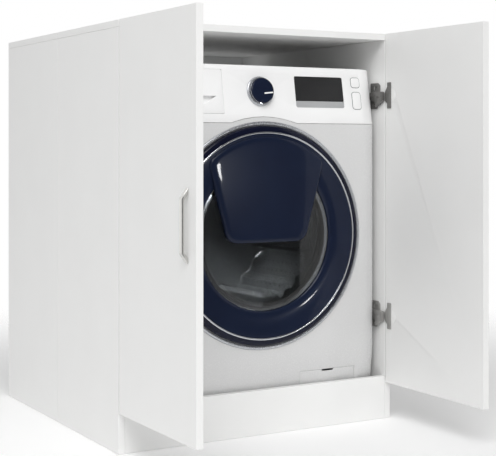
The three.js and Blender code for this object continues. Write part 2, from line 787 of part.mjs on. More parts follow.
function drumAndDrive() {
  const gasket = turned([
    [panelHole - 1, 0.5],
    [panelHole - 1, 4],
    [gasketMouth + 9, 8],
    [gasketMouth + 9, tubFront - 44],
    [gasketMouth + 25, tubFront - 34],
    [gasketMouth + 25, tubFront - 19],
    [tubMouth - 2, tubFront - 12],
    [tubMouth - 2, tubFront - 2],
    [tubMouth - 7, tubFront - 2],
    [tubMouth - 7, tubFront - 16],
    [gasketMouth + 20, tubFront - 22],
    [gasketMouth + 20, tubFront - 31],
    [gasketMouth + 4, tubFront - 41],
    [gasketMouth + 4, 6],
    [gasketMouth, 4],
    [gasketMouth, 0.5],
  ]);
  add(loadingDoor, "door_gasket", gasket, rubber);

  const drumShell = turned([
    [drumMouth, drumFront],
    [drumRadius, drumFront],
    [drumRadius, drumBack],
    [shaftRadius + 5, drumBack],
    [shaftRadius + 5, drumBack - drumWall],
    [drumRadius - drumWall, drumBack - drumWall],
    [drumRadius - drumWall, drumFront + drumWall],
    [drumMouth, drumFront + drumWall],
  ]);
  const lifters = [];
  for (let i = 0; i < lifter.count; i++) {
    const base = drumRadius - drumWall / 2;
    const crest = base - lifter.height;
    const foot = [-1, -0.5, 0, 0.5, 1].map((t) => (t * lifter.width) / 2);
    const ridge = polygon([
      ...foot.map((x) => [x, Math.sqrt(base * base - x * x)]),
      [lifter.crest / 2, crest],
      [-lifter.crest / 2, crest],
    ]);
    lifters.push(
      plateXZ(ridge, drumFront + lifter.front, drumBack - lifter.back)
        .rotateY((i * 2 * Math.PI) / lifter.count + Math.PI / 6),
    );
  }
  add(loadingDoor, "drum", join(drumShell, ...lifters), steel);

  const tubHalf = (front, back, closed) => {
    const inner = tubRadius - tubWall;
    const outline = closed
      ? [[tubRadius, front], [tubRadius, back], [shaftRadius + seat, back],
        [shaftRadius + seat, back - 3 * tubWall], [3 * shaftRadius, back - 3 * tubWall],
        [3 * shaftRadius, back - tubWall], [inner, back - tubWall], [inner, front]]
      : [[tubMouth, front], [tubRadius, front], [tubRadius, back], [inner, back],
        [inner, front + tubWall], [tubMouth, front + tubWall]];
    return turned(outline);
  };
  const splitY = tubFront + tubSplit;
  add(loadingDoor, "tub_front_half", tubHalf(tubFront, splitY - seat, false), greyPlastic);
  add(loadingDoor, "tub_rear_half", tubHalf(splitY, tubBack, true), greyPlastic);

  const hubY = drumBack + seat;
  const hub = bar(2.5 * shaftRadius, hubY, hubY + hubThickness);
  const shaft = join(bar(shaftRadius, hubY, pulleyBack + 10), hub);
  add(loadingDoor, "drum_shaft", shaft, aluminium);

  const pulley = (bore, radius) =>
    turned([
      [bore, pulleyFront],
      [radius, pulleyFront],
      [radius, pulleyBack],
      [bore, pulleyBack],
    ], 48);
  add(loadingDoor, "drum_pulley", pulley(shaftRadius + seat, pulleyRadius), aluminium);

  const motorBack = pulleyFront - motorSize.pulleyGap;
  const motor = bar(motorSize.radius, motorBack - motorSize.length, motorBack);
  add(loadingDoor, "motor", motor.translate(motorSize.x, 0, motorDrop), aluminium);
  const motorPulley = join(
    bar(motorPulleyRadius, pulleyFront, pulleyBack, 24),
    bar(motorPulleyRadius / 2, motorBack + seat, pulleyBack + 6, 16),
  );
  add(loadingDoor, "motor_pulley", motorPulley.translate(motorSize.x, 0, motorDrop), steel);
  add(loadingDoor, "drive_belt", belt(), blackRubber);

  const { left, right, front, length, sink, headroom: above, gap } = counterweight;
  const slab = block(
    [left, drumFront + front, tubRadius - sink],
    [right, drumFront + front + length, lidZ - above - doorHeight],
  );
  const nearTub = bar(tubRadius + gap, -reach, reach, 64);
  add(loadingDoor, "counterweight", cut(slab, nearTub), concrete);
}

// A flat belt round both pulleys: two arcs joined by the outer tangents.
function belt() {
  const distance = Math.hypot(motorSize.x, motorDrop);
  const along = Math.atan2(motorDrop, motorSize.x);
  const spread = Math.acos((pulleyRadius - motorPulleyRadius) / distance);
  const loop = (extra, shape) => {
    const big = pulleyRadius + extra;
    const small = motorPulleyRadius + extra;
    shape.absarc(0, 0, big, along + spread, along - spread + 2 * Math.PI, false);
    shape.absarc(motorSize.x, motorDrop, small, along - spread, along + spread, false);
    return shape;
  };
  const outline = loop(seat + beltThickness, new THREE.Shape());
  outline.holes.push(loop(seat, new THREE.Path()));
  return plateXZ(outline, pulleyFront + 1, pulleyBack - 1, 24);
}

// The tub hangs from two coil springs and stands on two friction dampers.
function suspension() {
  const springY = tray.setback + tray.length + spring.behindTray;
  const low = doorHeight + spring.rise;
  const high = lidZ - spring.headroom;
  for (const [sideName, side] of [["left", -1], ["right", 1]]) {
    const x = side * (halfMachine - spring.side);
    class Coil extends THREE.Curve {
      getPoint(t, target = new THREE.Vector3()) {
        const angle = t * spring.turns * 2 * Math.PI;
        const z = low + (high - low) * t;
        return target.set(x + spring.radius * Math.cos(angle), springY + spring.radius * Math.sin(angle), z);
      }
    }
    const wire = new THREE.Shape();
    wire.absarc(0, 0, spring.wire, 0, 2 * Math.PI);
    const coil = new THREE.ExtrudeGeometry(wire, {
      extrudePath: new Coil(),
      steps: spring.turns * 8,
      bevelEnabled: false,
      curveSegments: 3,
    });
    add(machine, `tub_spring_${sideName}`, coil, steel);

    const footX = tubRadius - damper.inset;
    const tubUnderside = doorHeight - Math.sqrt(tubRadius ** 2 - (footX - damper.rod) ** 2);
    const bodyTop = baseTop + 1 + damper.body;
    const strut = join(
      post(damper.radius, baseTop + 1, bodyTop, 16),
      post(damper.rod, bodyTop - 1, tubUnderside - 1, 12),
    );
    strut.translate(side * footX, tubFront + damper.front, 0);
    add(machine, `tub_damper_${sideName}`, strut, greyPlastic);
  }
}

// ---------------------------------------------------------------- assembly

carcass();
cabinetDoor("left", -1);
cabinetDoor("right", 1);
casing();
controlFascia();
detergentDrawer();
door();
drumAndDrive();
suspension();

export default laundry;
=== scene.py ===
import json
from math import radians, sin, cos, pi

import bpy
from mathutils import Matrix, Vector


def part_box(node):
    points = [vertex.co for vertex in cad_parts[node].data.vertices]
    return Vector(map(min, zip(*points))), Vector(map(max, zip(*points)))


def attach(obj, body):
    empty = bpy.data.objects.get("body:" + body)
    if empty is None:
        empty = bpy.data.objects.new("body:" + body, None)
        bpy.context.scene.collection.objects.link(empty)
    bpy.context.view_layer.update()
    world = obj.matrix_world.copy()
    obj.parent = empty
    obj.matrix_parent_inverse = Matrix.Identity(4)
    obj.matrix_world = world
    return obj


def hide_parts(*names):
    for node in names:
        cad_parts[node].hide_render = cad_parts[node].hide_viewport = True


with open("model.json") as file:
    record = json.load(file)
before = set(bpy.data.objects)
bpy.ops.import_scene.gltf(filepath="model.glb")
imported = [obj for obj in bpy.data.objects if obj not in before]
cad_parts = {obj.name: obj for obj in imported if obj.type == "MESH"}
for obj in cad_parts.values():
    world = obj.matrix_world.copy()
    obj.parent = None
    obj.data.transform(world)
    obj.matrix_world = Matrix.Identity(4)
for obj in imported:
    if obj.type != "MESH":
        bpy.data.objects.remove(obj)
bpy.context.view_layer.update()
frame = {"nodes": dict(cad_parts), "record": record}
bpy.ops.object.select_all(action="DESELECT")
bodyOf = {n: b for b, names in frame["record"]["behaviour"]["bodies"].items() for n in names}
mm = 0.001
print("frame loaded")


def linearColour(hexColour):
    parts = [int(hexColour[i:i + 2], 16) / 255 for i in (1, 3, 5)]
    return [c / 12.92 if c <= 0.04045 else ((c + 0.055) / 1.055) ** 2.4 for c in parts] + [1.0]


def addNode(material, kind, inputs=None, **settings):
    node = material.node_tree.nodes.new(kind)
    for name, value in settings.items():
        setattr(node, name, value)
    for socket, value in (inputs or {}).items():
        if isinstance(value, tuple) and isinstance(value[0], bpy.types.Node):
            material.node_tree.links.new(value[0].outputs[value[1]], node.inputs[socket])
        else:
            node.inputs[socket].default_value = value
    return node


def newMaterial(name, colour, **sockets):
    material = bpy.data.materials.new(name)
    material.use_nodes = True
    shader = material.node_tree.nodes["Principled BSDF"]
    shader.inputs["Base Color"].default_value = linearColour(colour)
    for socket, value in sockets.items():
        shader.inputs[socket.replace("_", " ")].default_value = value
    return material, shader


def addSurface(material, shader, grainMm, bumpMm, tints, roughness, stretch=(1, 1, 1), cloudMm=120):
    # tints and roughness are the two ends that a slow cloud and the grain move between
    place = addNode(material, "ShaderNodeTexCoord")
    spread = addNode(material, "ShaderNodeMapping", {"Vector": (place, "Object"), "Scale": stretch})
    grain = addNode(material, "ShaderNodeTexNoise",
                    {"Vector": (spread, "Vector"), "Scale": 1 / (grainMm * mm), "Detail": 3.0})
    cloud = addNode(material, "ShaderNodeTexNoise",
                    {"Vector": (place, "Object"), "Scale": 1 / (cloudMm * mm), "Detail": 2.0})
    blend = addNode(material, "ShaderNodeMix", {0: (cloud, "Fac")}, data_type="RGBA")
    blend.inputs[6].default_value = linearColour(tints[0])
    blend.inputs[7].default_value = linearColour(tints[1])
    rough = addNode(material, "ShaderNodeMapRange",
                    {"Value": (grain, "Fac"), "To Min": roughness[0], "To Max": roughness[1]})
    bump = addNode(material, "ShaderNodeBump",
                   {"Height": (grain, "Fac"), "Distance": bumpMm * mm, "Strength": 0.5})
    links = material.node_tree.links
    links.new(blend.outputs[2], shader.inputs["Base Color"])
    links.new(rough.outputs["Result"], shader.inputs["Roughness"])
    links.new(bump.outputs["Normal"], shader.inputs["Normal"])
    return material


def plainFinish(name, tints, roughness, grainMm, bumpMm, stretch=(1, 1, 1), **sockets):
    material, shader = newMaterial(name, tints[0], **sockets)
    return addSurface(material, shader, grainMm, bumpMm, tints, roughness, stretch)


def seeThrough(name, tint, gloss, roughness, edgeGloss):
    # lets light straight through its tint, with a clear reflection that grows where it curves away
    material = bpy.data.materials.new(name)
    material.use_nodes = True
    nodes = material.node_tree.nodes
    nodes.remove(nodes["Principled BSDF"])
    clear = addNode(material, "ShaderNodeBsdfTransparent", {"Color": linearColour(tint)})
    shine = addNode(material, "ShaderNodeBsdfGlossy", {"Color": linearColour(edgeGloss),
                                                       "Roughness": roughness})
    slant = addNode(material, "ShaderNodeLayerWeight", {"Blend": 0.15})
    rim = addNode(material, "ShaderNodeMapRange",
                  {"Value": (slant, "Facing"), "To Min": gloss[0], "To Max": gloss[1]})
    mix = addNode(material, "ShaderNodeMixShader", {0: (rim, "Result"), 1: (clear, "BSDF"), 2: (shine,
                                                                                                "BSDF")})
    material.node_tree.links.new(mix.outputs[0], nodes["Material Output"].inputs["Surface"])
    return material


finishes = {
    # melamine foil on chipboard: matt white with a very fine pearl that breaks up highlights
    "melamineBoard": plainFinish("melamineBoard", ("#F3F3F2", "#EFEFEE"), (0.42, 0.5), 0.9, 0.02, IOR=1.5),
    # stove enamel over sheet steel: smooth, with faint orange peel; its white is painted a little greyer than
    # the plastic above it, as painted shade over the machine's front
    "stoveEnamel": plainFinish("stoveEnamel", ("#D9D9D9", "#D3D3D3"), (0.24, 0.3), 2.2, 0.012,
                               IOR=1.5, Coat_Weight=0.15, Coat_Roughness=0.1),
    # moulded ABS, fine spark texture
    "mouldedAbs": plainFinish("mouldedAbs", ("#F6F6F6", "#F2F2F2"), (0.3, 0.38), 0.8, 0.012, IOR=1.53),
    # high-pressure laminate on the lid
    "laminate": plainFinish("laminate", ("#F0F0F0", "#EBEBEB"), (0.4, 0.5), 0.7, 0.02, IOR=1.5),
    # dark blue ABS under clear lacquer: deep colour, sharp small highlights
    "lacqueredBlueAbs": plainFinish("lacqueredBlueAbs", ("#141A2D", "#192237"), (0.16, 0.22), 5.0, 0.003,
                                    IOR=1.5, Specular_IOR_Level=0.08, Coat_Weight=0.28, Coat_Roughness=0.03),
    # the same plastic in the deep groove round the rim, painted nearly black as the groove's shade
    "grooveShadeBlueAbs": plainFinish("grooveShadeBlueAbs", ("#0C0F1E", "#10142A"), (0.12, 0.18), 5.0, 0.003,
                               IOR=1.5, Specular_IOR_Level=0.08, Coat_Weight=0.3, Coat_Roughness=0.03),
    # bright electroplated ABS, smooth
    "chromedAbs": plainFinish("chromedAbs", ("#DDDFE3", "#D0D2D7"), (0.1, 0.16), 3.0, 0.003, Metallic=1.0),
    # satin electroplated ABS round the door
    "satinChromedAbs": plainFinish("satinChromedAbs", ("#C2C4C8", "#B6B8BC"), (0.24, 0.32), 2.0, 0.003,
                                   Metallic=0.8),
    # satin anodised strip under the display
    "anodisedStrip": plainFinish("anodisedStrip", ("#BDBEC0", "#B2B3B5"), (0.4, 0.48), 0.5, 0.006,
                                 (1, 1, 6), Metallic=0.35),
    # black acrylic over the display: matt dark grey with no clear reflection
    "blackAcrylic": plainFinish("blackAcrylic", ("#262627", "#303031"), (0.32, 0.4), 6.0, 0.002,
                                IOR=1.49, Specular_IOR_Level=0.2),
    # smoke-tinted acrylic cover: takes a little off what lies behind it and shines where it slants away
    "tintedAcrylic": seeThrough("tintedAcrylic", "#D6D7D8", (0.015, 0.6), 0.03, "#E0E0E0"),
    # pressed glass of the bowl: nearly clear, with bright rims on its curved wall
    "pressedGlass": seeThrough("pressedGlass", "#EEF0F0", (0.02, 0.85), 0.04, "#C8C8C8"),
    # bright nickel on zinc, brushed lengthwise before plating
    "brushedNickel": plainFinish("brushedNickel", ("#D6D5D3", "#CBCAC7"), (0.2, 0.28), 0.35, 0.006,
                                 (6, 6, 0.4), Metallic=0.95),
    # nickel-plated pressed steel of the hinges
    "platedSteel": plainFinish("platedSteel", ("#B3B2B0", "#9E9D9B"), (0.3, 0.42), 0.8, 0.01, Metallic=0.5),
    # the same steel on the upper hinges, painted darker as the shade they stand in
    "shadePaintedPlatedSteel": plainFinish("shadePaintedPlatedSteel", ("#858482", "#747371"), (0.32, 0.44), 0.8, 0.01,
                                   Metallic=0.5),
    # moulded rubber of the gasket: dull grey with a soft mottle
    "mouldedRubber": plainFinish("mouldedRubber", ("#5E6062", "#525456"), (0.6, 0.75), 0.7, 0.03, IOR=1.52),
    # filled black rubber: feet and belt
    "blackRubber": plainFinish("blackRubber", ("#1A1A1A", "#222222"), (0.65, 0.8), 0.8, 0.04, IOR=1.52),
    # hot-dip galvanised sheet: broad pale and dark patches
    "galvanisedSheet": plainFinish("galvanisedSheet", ("#BFC2C3", "#A4A8AA"), (0.35, 0.5), 8.0, 0.01,
                                   Metallic=0.6),
    # filled polypropylene: satin grey
    "greyPolypropylene": plainFinish("greyPolypropylene", ("#A4A7A9", "#989B9D"), (0.5, 0.6), 0.9, 0.03),
    # cast concrete: dry and sandy, with grit of about 3 mm
    "castConcrete": plainFinish("castConcrete", ("#9D998F", "#86827A"), (0.85, 0.95), 3.0, 0.4),
    # sand-cast aluminium: soft grey skin
    "castAluminium": plainFinish("castAluminium", ("#B0B3B6", "#A2A5A8"), (0.4, 0.55), 1.2, 0.05,
                                 Metallic=0.9),
    # drawn spring steel
    "springSteel": plainFinish("springSteel", ("#9A9C9E", "#8A8C8E"), (0.3, 0.4), 1.0, 0.01, Metallic=0.9),
    # white ink of the pointer
    "whitePrint": plainFinish("whitePrint", ("#F8F8F8", "#F2F2F2"), (0.4, 0.5), 1.0, 0.002),
    # grey elastomer lip round each button
    "greySeal": plainFinish("greySeal", ("#6E7073", "#66686B"), (0.5, 0.6), 0.8, 0.01),
    # polished stainless on the drum's lifters, its shine painted in as a near-white colour with little metal
    "sheenPaintedStainless": plainFinish("sheenPaintedStainless", ("#F4F5F7", "#E8EAED"), (0.2, 0.28), 2.0, 0.004,
                                   Metallic=0.3),
}


def stainlessDrum():
    # brushed stainless sheet, with the small round holes drawn in rows round the drum, each painted dark grey
    # as the shade inside the hole
    size = {"pitchMm": 22.0, "holeMm": 4.2, "radiusMm": 237.0}
    material, shader = newMaterial("piercedStainless", "#C8CACC", Metallic=0.4)
    addSurface(material, shader, 9.0, 0.01, ("#CDCFD1", "#B8BABC"), (0.3, 0.4), (1, 3, 1))
    place = addNode(material, "ShaderNodeTexCoord")
    centred = addNode(material, "ShaderNodeVectorMath",
                      {0: (place, "Object"), 1: (-door["x"], 0, -door["z"])}, operation="ADD")
    parts = addNode(material, "ShaderNodeSeparateXYZ", {0: (centred, 0)})
    angle = addNode(material, "ShaderNodeMath", {0: (parts, "Z"), 1: (parts, "X")}, operation="ARCTAN2")
    rows = round(2 * pi * size["radiusMm"] / size["pitchMm"])
    around = addNode(material, "ShaderNodeMath", {0: (angle, 0), 1: rows / (2 * pi)}, operation="MULTIPLY")
    along = addNode(material, "ShaderNodeMath", {0: (parts, "Y"), 1: 1 / (size["pitchMm"] * mm)},
                    operation="MULTIPLY")
    distance = []
    for source in (around, along):
        fraction = addNode(material, "ShaderNodeMath", {0: (source, 0)}, operation="FRACT")
        centre = addNode(material, "ShaderNodeMath", {0: (fraction, 0), 1: 0.5}, operation="SUBTRACT")
        distance.append(addNode(material, "ShaderNodeMath", {0: (centre, 0), 1: 2.0}, operation="POWER"))
    total = addNode(material, "ShaderNodeMath", {0: (distance[0], 0), 1: (distance[1], 0)}, operation="ADD")
    edge = (size["holeMm"] / 2 / size["pitchMm"]) ** 2
    hole = addNode(material, "ShaderNodeMapRange",
                   {"Value": (total, 0), "From Min": edge * 0.8, "From Max": edge * 1.2})
    old = shader.inputs["Base Color"].links[0].from_socket
    # the holes' dark grey is painted shade seen inside them
    shade = addNode(material, "ShaderNodeMix", {0: (hole, "Result")}, data_type="RGBA")
    shade.inputs[6].default_value = linearColour("#4A4B4C")
    material.node_tree.links.new(old, shade.inputs[7])
    material.node_tree.links.new(shade.outputs[2], shader.inputs["Base Color"])
    return material


def startOnly(obj):
    bpy.ops.object.select_all(action="DESELECT")
    obj.select_set(True)
    bpy.context.view_layer.objects.active = obj


def settle(obj, finish, body, nodes=(), angle=35, matrix=None):
    # puts a finished piece's place into its mesh and hands it to its body
    startOnly(obj)
    bpy.ops.object.transform_apply(location=True, rotation=True, scale=True)
    if matrix is not None:
        obj.matrix_world = matrix
        bpy.ops.object.transform_apply(location=True, rotation=True, scale=True)
    bpy.ops.object.shade_smooth_by_angle(angle=radians(angle))
    obj.data.materials.clear()
    obj.data.materials.append(finishes[finish])
    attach(obj, body)
    if nodes:
        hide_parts(*nodes)
    return obj


def applyBevel(obj, widthMm, segments=3, angle=35):
    bevel = obj.modifiers.new("edges", "BEVEL")
    bevel.width = widthMm * mm
    bevel.segments = segments
    bevel.limit_method = "ANGLE"
    bevel.angle_limit = radians(angle)
    bevel.harden_normals = False
    startOnly(obj)
    bpy.ops.object.modifier_apply(modifier=bevel.name)


def applyCut(obj, cutter):
    cut = obj.modifiers.new("cut", "BOOLEAN")
    cut.object = cutter
    cut.operation = "DIFFERENCE"
    cut.solver = "EXACT"
    startOnly(obj)
    bpy.ops.object.modifier_apply(modifier=cut.name)
    bpy.data.objects.remove(cutter)


def finishedCopy(node, finish, bevelMm=0.5, segments=3, angle=35):
    # the node's own shape with its triangles merged, its edges eased and its curves smooth
    source = frame["nodes"][node]
    obj = bpy.data.objects.new(node + "Finished", source.data.copy())
    bpy.context.scene.collection.objects.link(obj)
    obj.matrix_world = Matrix.Identity(4)
    startOnly(obj)
    bpy.ops.object.mode_set(mode="EDIT")
    bpy.ops.mesh.select_all(action="SELECT")
    bpy.ops.mesh.remove_doubles(threshold=1e-6)
    bpy.ops.mesh.dissolve_limited(angle_limit=radians(0.5))
    bpy.ops.object.mode_set(mode="OBJECT")
    if bevelMm:
        applyBevel(obj, bevelMm, segments, angle)
    return settle(obj, finish, bodyOf[node], [node], angle)


def turnedPiece(name, outlineMm, finish, body, nodes=(), segments=144, matrix=None, closed=True, angle=35):
    # a ring extruded and scaled from one (radius, y) to the next; a radius of 0 closes it at the axis
    points = list(outlineMm) + ([outlineMm[0]] if closed else [])
    radius, y = points[0]
    bpy.ops.object.select_all(action="DESELECT")
    bpy.ops.mesh.primitive_circle_add(vertices=segments, radius=radius * mm, location=(0, y * mm, 0),
                                      rotation=(radians(90), 0, 0))
    obj = bpy.context.object
    obj.name = name
    bpy.ops.object.transform_apply(location=True, rotation=True, scale=True)
    bpy.ops.object.mode_set(mode="EDIT")
    bpy.ops.mesh.select_all(action="SELECT")
    for nextRadius, nextY in points[1:]:
        bpy.ops.mesh.extrude_region_move(TRANSFORM_OT_translate={"value": (0, (nextY - y) * mm, 0)})
        scale = max(nextRadius, 1e-4) / radius
        bpy.ops.transform.resize(value=(scale, 1, scale), center_override=(0, nextY * mm, 0))
        radius, y = max(nextRadius, 1e-4), nextY
    bpy.ops.mesh.select_all(action="SELECT")
    bpy.ops.mesh.remove_doubles(threshold=2e-6)
    bpy.ops.mesh.delete_loose()
    bpy.ops.mesh.select_all(action="SELECT")
    if not closed:
        bpy.ops.mesh.select_all(action="DESELECT")
        bpy.ops.mesh.select_non_manifold()
        bpy.ops.mesh.fill()
        bpy.ops.mesh.select_all(action="SELECT")
    bpy.ops.mesh.normals_make_consistent(inside=False)
    bpy.ops.object.mode_set(mode="OBJECT")
    return settle(obj, finish, body, nodes, angle, matrix)


def roundedPlate(name, low, high, cornerMm, thicknessMm, frameMm=0):
    # a flat sheet in X and Z with its corners rounded, given thickness towards the back, hollow if framed
    size = [b - a for a, b in zip(low, high)]
    bpy.ops.object.select_all(action="DESELECT")
    bpy.ops.mesh.primitive_plane_add(size=1, rotation=(radians(90), 0, 0))
    obj = bpy.context.object
    obj.name = name
    obj.scale = (size[0] * mm, size[2] * mm, 1)
    obj.location = [(a + b) / 2 * mm for a, b in zip(low, high)]
    bpy.ops.object.transform_apply(location=True, rotation=True, scale=True)
    bpy.ops.object.mode_set(mode="EDIT")
    bpy.ops.mesh.select_all(action="SELECT")
    bpy.ops.mesh.bevel(offset=cornerMm * mm, segments=8, affect="VERTICES")
    if frameMm:
        bpy.ops.mesh.inset(thickness=frameMm * mm)
        bpy.ops.mesh.delete(type="FACE")
        bpy.ops.mesh.select_all(action="SELECT")
    bpy.ops.mesh.extrude_region_move(TRANSFORM_OT_translate={"value": (0, thicknessMm * mm, 0)})
    bpy.ops.mesh.select_all(action="SELECT")
    bpy.ops.mesh.normals_make_consistent(inside=False)
    bpy.ops.object.mode_set(mode="OBJECT")
    return obj


frameLow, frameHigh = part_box("door_frame")
door = {"x": (frameLow.x + frameHigh.x) / 2, "z": (frameLow.z + frameHigh.z) / 2,
        "front": frameHigh.y + 1 * mm}
doorFaceMm = -11.5
doorPlace = Matrix.Translation((door["x"], door["front"], door["z"]))
fasciaPlace = {"lean": 9.8, "seam": 0.7}
fasciaMatrix = Matrix.Translation((door["x"], door["front"], fasciaPlace["seam"])) @ Matrix.Rotation(
    -radians(fasciaPlace["lean"]), 4, "X")
finishes["piercedStainless"] = stainlessDrum()


def doorPoint(x, y, z):
    # a place measured from the middle of the loading door, in metres
    return (door["x"] + x, door["front"] + y, door["z"] + z)


def buildStage():
    look = {
        "place": (-1.4035, -2.3816, 0.6538), "turn": 30.1, "lens": 89.15,
        "shift": (-0.0087, -0.1702), "floor": "#FCFCFC", "floorGlow": 0.07,
        "floorSize": 40, "floorDrop": 0.0005, "fade": (0.9, 2.4), "sensor": 36,
        "soft": 0.47, "background": 1.0, "darkSide": 0.1, "brightSide": 1.1,
        "brightTowards": (-0.51, 0.86, 0.0), "turnOver": 0.9,
        "key": 98.0, "fill": 5.0, "lamp": 2.6,
    }
    white = linearColour("#FFFFFF")
    cameraData = bpy.data.cameras.new("camera")
    cameraData.lens, cameraData.sensor_width = look["lens"], look["sensor"]
    cameraData.shift_x, cameraData.shift_y = look["shift"]
    camera = bpy.data.objects.new("camera", cameraData)
    camera.location = look["place"]
    camera.rotation_euler = (radians(90), 0, -radians(look["turn"]))
    bpy.context.scene.collection.objects.link(camera)
    bpy.context.scene.camera = camera

    bpy.ops.object.select_all(action="DESELECT")
    bpy.ops.mesh.primitive_plane_add(size=look["floorSize"], location=(0, 0, -look["floorDrop"]))
    floor = bpy.context.object
    floor.name = "studioFloor"
    floorFinish, shader = newMaterial("paleFloor", look["floor"], Roughness=0.9,
                                      Emission_Strength=look["floorGlow"])
    shader.inputs["Emission Color"].default_value = white
    # the floor fades into the white background some way out from the object
    spot = addNode(floorFinish, "ShaderNodeTexCoord")
    far = addNode(floorFinish, "ShaderNodeVectorMath", {0: (spot, "Object")}, operation="LENGTH")
    fade = addNode(floorFinish, "ShaderNodeMapRange",
                   {"Value": (far, "Value"), "From Min": look["fade"][0], "From Max": look["fade"][1]},
                   interpolation_type="SMOOTHSTEP")
    away = addNode(floorFinish, "ShaderNodeBsdfTransparent")
    mix = addNode(floorFinish, "ShaderNodeMixShader", {0: (fade, "Result"), 2: (away, "BSDF")})
    links, surface = floorFinish.node_tree.links, floorFinish.node_tree.nodes["Material Output"]
    links.new(shader.outputs[0], mix.inputs[1])
    links.new(mix.outputs[0], surface.inputs["Surface"])
    floor.data.materials.append(floorFinish)

    # a white room that looks darker to the front and right when it is mirrored
    world = bpy.data.worlds.new("softWhite")
    world.use_nodes = True
    background = world.node_tree.nodes["Background"]
    background.inputs["Color"].default_value = white
    place = addNode(world, "ShaderNodeTexCoord")
    towards = addNode(world, "ShaderNodeVectorMath", {0: (place, "Generated"), 1: look["brightTowards"]},
                      operation="DOT_PRODUCT")
    mirrored = addNode(world, "ShaderNodeMapRange",
                       {"Value": (towards, "Value"), "From Min": -look["turnOver"],
                        "From Max": look["turnOver"],
                        "To Min": look["darkSide"], "To Max": look["brightSide"]})
    ray = addNode(world, "ShaderNodeLightPath")
    seen = addNode(world, "ShaderNodeMix", {0: (ray, "Is Glossy Ray"), 3: (mirrored, "Result")},
                   data_type="FLOAT")
    seen.inputs[2].default_value = look["soft"]
    plain = addNode(world, "ShaderNodeMix", {0: (ray, "Is Camera Ray"), 2: (seen, 0)}, data_type="FLOAT")
    plain.inputs[3].default_value = look["background"]
    world.node_tree.links.new(plain.outputs[0], background.inputs["Strength"])
    bpy.context.scene.world = world

    for name, energy, size, place, aim in (
        ("keyLight", look["key"], 2.4, (-1.5, -2.6, 3.3), (0.0, 0.0, 0.5)),
        ("fillLight", look["fill"], 2.0, (-3.0, -1.0, 1.8), (0.0, 0.2, 0.5)),
        ("smallLamp", look["lamp"], 0.11, (1.28, -2.74, 0.525), (0.05, 0.0, 0.27)),
    ):
        data = bpy.data.lights.new(name, "AREA")
        data.energy, data.size = energy, size
        light = bpy.data.objects.new(name, data)
        light.location = place
        light.rotation_euler = (Vector(aim) - Vector(place)).to_track_quat("-Z", "Y").to_euler()
        bpy.context.scene.collection.objects.link(light)
    # a small lamp inside the drum, aimed at its lowest ridge on the right
    inDrum = {"energy": 3.2, "cone": 60, "blend": 0.8, "radius": 0.015,
              "from": (0.0, 0.13, 0.1), "to": (0.1, 0.27, -0.18)}
    data = bpy.data.lights.new("drumLamp", "SPOT")
    data.energy, data.spot_size = inDrum["energy"], radians(inDrum["cone"])
    data.spot_blend, data.shadow_soft_size = inDrum["blend"], inDrum["radius"]
    light = bpy.data.objects.new("drumLamp", data)
    light.location = doorPoint(*inDrum["from"])
    aim = Vector(doorPoint(*inDrum["to"]))
    light.rotation_euler = (aim - light.location).to_track_quat("-Z", "Y").to_euler()
    light.visible_camera = False
    bpy.context.scene.collection.objects.link(light)
    bpy.context.scene.view_settings.view_transform = "Standard"


buildStage()
print("stage done")


def buildCabinet():
    edges = {"boardBevelMm": 0.5, "handleBevelMm": 1.1}
    for node in ("left_side_front_board", "right_side_front_board", "left_side_rear_board",
                 "right_side_rear_board", "top_front_board", "top_rear_board", "plinth_board",
                 "rear_top_rail", "rear_bottom_rail", "left_door_panel", "right_door_panel"):
        finishedCopy(node, "melamineBoard", edges["boardBevelMm"], 2, 20)
    for side in ("left", "right"):
        finishedCopy(side + "_door_handle", "brushedNickel", edges["handleBevelMm"], 3, 20)


buildCabinet()
print("cabinet done")


def slotCutter(x, y, z, widthMm, lengthMm):
    # an upright slot with a round foot, lengthMm longer than it is wide
    bpy.ops.object.select_all(action="DESELECT")
    bpy.ops.mesh.primitive_cylinder_add(vertices=20, radius=widthMm / 2 * mm, depth=8 * mm,
                                        location=(x, y, z), rotation=(0, radians(90), 0))
    obj = bpy.context.object
    bpy.ops.object.transform_apply(location=True, rotation=True, scale=True)
    bpy.ops.object.mode_set(mode="EDIT")
    bpy.ops.mesh.select_all(action="DESELECT")
    bpy.ops.object.mode_set(mode="OBJECT")
    for vertex in obj.data.vertices:
        if vertex.co.z > z + 1e-5:
            vertex.select = True
    bpy.ops.object.mode_set(mode="EDIT")
    bpy.ops.transform.translate(value=(0, 0, lengthMm * mm))
    bpy.ops.object.mode_set(mode="OBJECT")
    return obj


def joinPieces(name, parts):
    bpy.ops.object.select_all(action="DESELECT")
    for part in parts:
        part.select_set(True)
    bpy.context.view_layer.objects.active = parts[0]
    bpy.ops.object.join()
    parts[0].name = name
    return parts[0]


def screwHead(x, y, z, side, radiusMm=3.6):
    # a domed cross-headed screw that faces the middle of the cabinet
    bpy.ops.object.select_all(action="DESELECT")
    bpy.ops.mesh.primitive_cylinder_add(vertices=24, radius=radiusMm * mm, depth=1.6 * mm,
                                        location=(x, y, z), rotation=(0, radians(90), 0))
    head = bpy.context.object
    bpy.ops.object.transform_apply(location=True, rotation=True, scale=True)
    applyBevel(head, 0.5, 2)
    for size in ((3, 1.0, 4.4), (3, 4.4, 1.0)):
        bpy.ops.object.select_all(action="DESELECT")
        bpy.ops.mesh.primitive_cube_add(size=1, location=(x - side * 1.8 * mm, y, z),
                                        scale=[s * mm for s in size])
        cutter = bpy.context.object
        bpy.ops.object.transform_apply(location=True, rotation=True, scale=True)
        applyCut(head, cutter)
    return head


